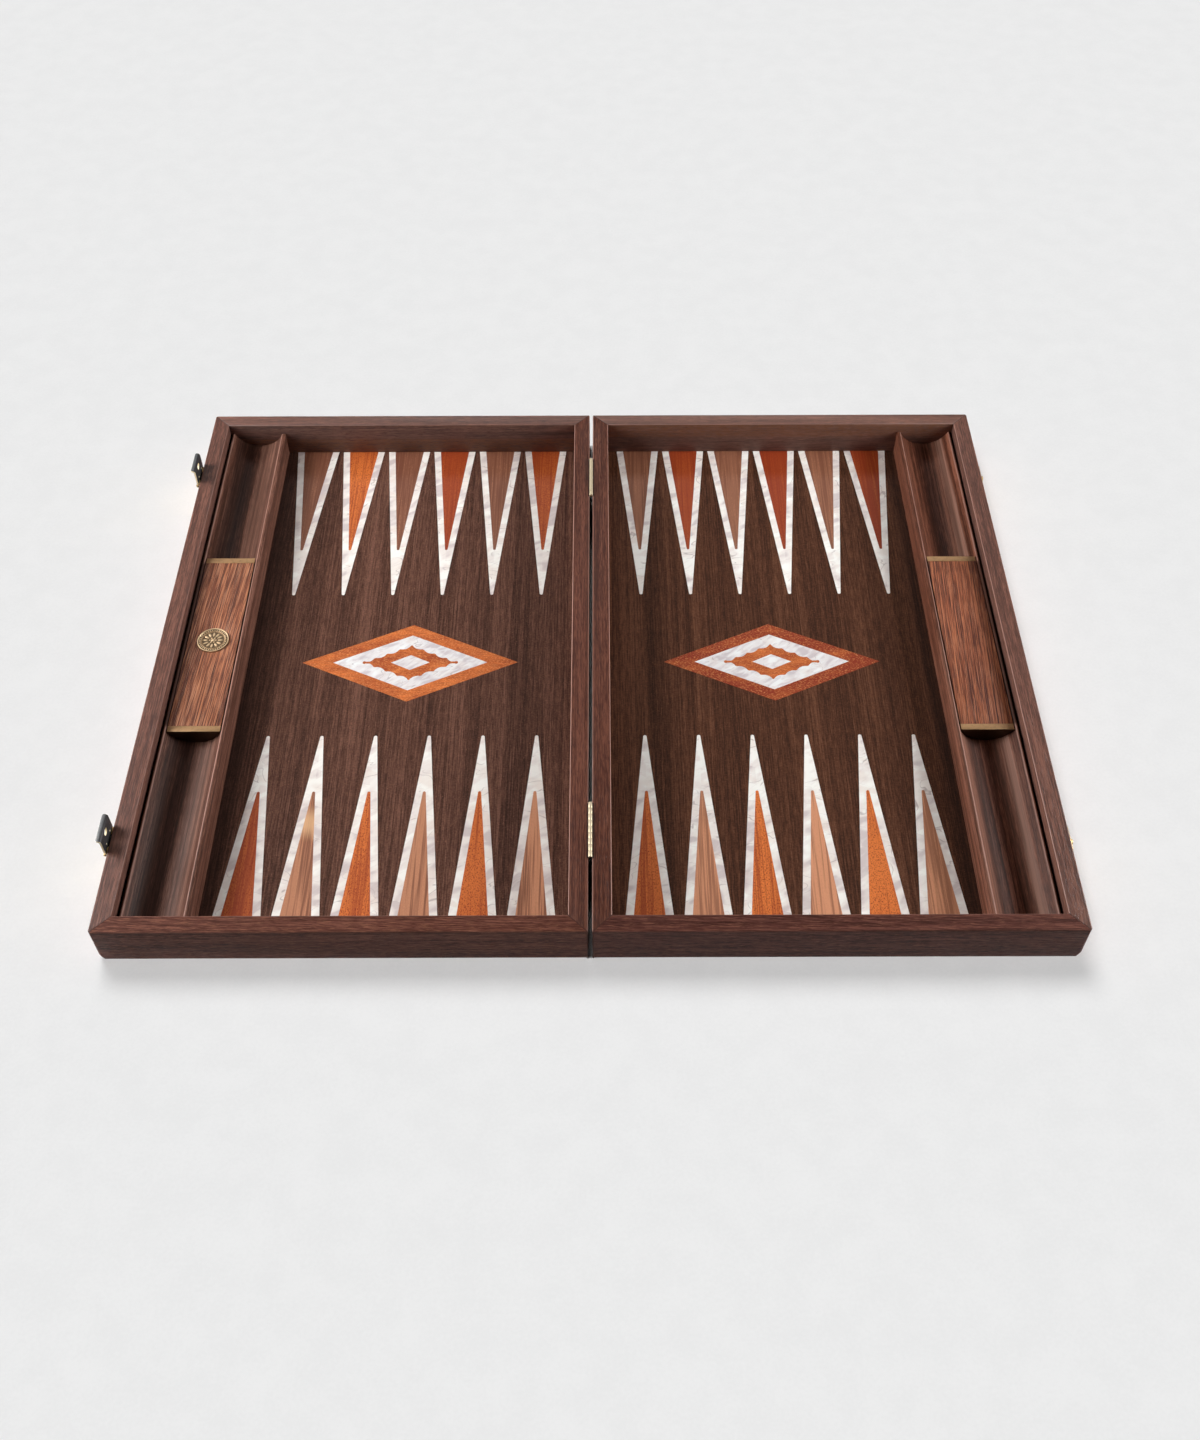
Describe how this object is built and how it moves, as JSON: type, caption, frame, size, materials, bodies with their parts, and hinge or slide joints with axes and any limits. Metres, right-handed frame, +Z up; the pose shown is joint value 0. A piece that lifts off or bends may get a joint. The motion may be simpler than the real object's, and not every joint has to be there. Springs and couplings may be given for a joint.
{
  "type": "folding backgammon board",
  "caption": "Folding wooden backgammon board, open flat, with inlaid points and diamonds, side racks, sliding divider blocks, brass hinges and clasps.",
  "frame": {"origin": "on the surface it stands on, in the middle of the gap between the two open halves", "axes": "+X across the open board towards the half with the catches, +Y from the near wall to the far wall, +Z up"},
  "size_m": [0.6076, 0.48, 0.043],
  "materials": {
    "wenge": "dark brown wood, satin lacquer",
    "rack_wood": "dark brown wood, satin lacquer",
    "field_veneer": "very dark brown veneer, satin lacquer",
    "panel": "plain plywood",
    "mahogany": "red-orange veneer, satin lacquer",
    "walnut": "mid brown veneer, satin lacquer",
    "block_wood": "reddish striped wood, glossy lacquer",
    "pearl": "mother of pearl, polished",
    "brass": "polished brass",
    "antique_brass": "brass with dark patina in its hollows",
    "dark_metal": "darkened metal, satin"
  },
  "bodies": {
    "base_half": {"right_near_wall": "wenge", "right_far_wall": "wenge", "right_outer_wall": "wenge", "right_hinge_wall": "wenge", "right_panel": "panel", "right_underside_veneer": "wenge", "right_field_veneer": "field_veneer", "right_rack": "rack_wood", "right_point_pearl": "pearl", "right_point_mahogany": "mahogany", "right_point_walnut": "walnut", "right_diamond_frame": "mahogany", "right_diamond_pearl": "pearl", "right_diamond_scallop": "mahogany", "right_diamond_centre": "pearl", "right_hinge_leaves": "brass", "right_hinge_screws": "brass", "hinge_pins": "brass", "catches": "brass", "catch_screws": "brass"},
    "lid_half": {"left_near_wall": "wenge", "left_far_wall": "wenge", "left_outer_wall": "wenge", "left_hinge_wall": "wenge", "left_panel": "panel", "left_underside_veneer": "wenge", "left_field_veneer": "field_veneer", "left_rack": "rack_wood", "left_point_pearl": "pearl", "left_point_mahogany": "mahogany", "left_point_walnut": "walnut", "left_diamond_frame": "mahogany", "left_diamond_pearl": "pearl", "left_diamond_scallop": "mahogany", "left_diamond_centre": "pearl", "left_hinge_leaves": "brass", "left_hinge_screws": "brass", "clasp_plates": "brass", "clasp_pins": "dark_metal", "clasp_screws": "brass"},
    "near_clasp": {"clasp_flap_near": "dark_metal"},
    "far_clasp": {"clasp_flap_far": "dark_metal"},
    "right_divider": {"right_block": "block_wood", "right_block_ends": "brass"},
    "left_divider": {"left_block": "block_wood", "left_block_ends": "brass", "medallion": "antique_brass"}
  },
  "joints": [
    {"name": "fold", "type": "hinge", "parent": "base_half", "child": "lid_half", "pos_m": [0, 0, 0.03185], "axis": [0, 1, 0], "range_deg": [0, 180]},
    {"name": "near_clasp_flap", "type": "hinge", "parent": "lid_half", "child": "near_clasp", "pos_m": [-0.30175, -0.171, 0.0281], "axis": [0, -1, 0], "range_deg": [0, 165]},
    {"name": "far_clasp_flap", "type": "hinge", "parent": "lid_half", "child": "far_clasp", "pos_m": [-0.30175, 0.171, 0.0281], "axis": [0, -1, 0], "range_deg": [0, 165]},
    {"name": "left_divider_slide", "type": "slide", "parent": "lid_half", "child": "left_divider", "axis": [0, 1, 0], "range_m": [-0.149, 0.141]},
    {"name": "right_divider_slide", "type": "slide", "parent": "base_half", "child": "right_divider", "axis": [0, 1, 0], "range_m": [-0.149, 0.141]}
  ]
}
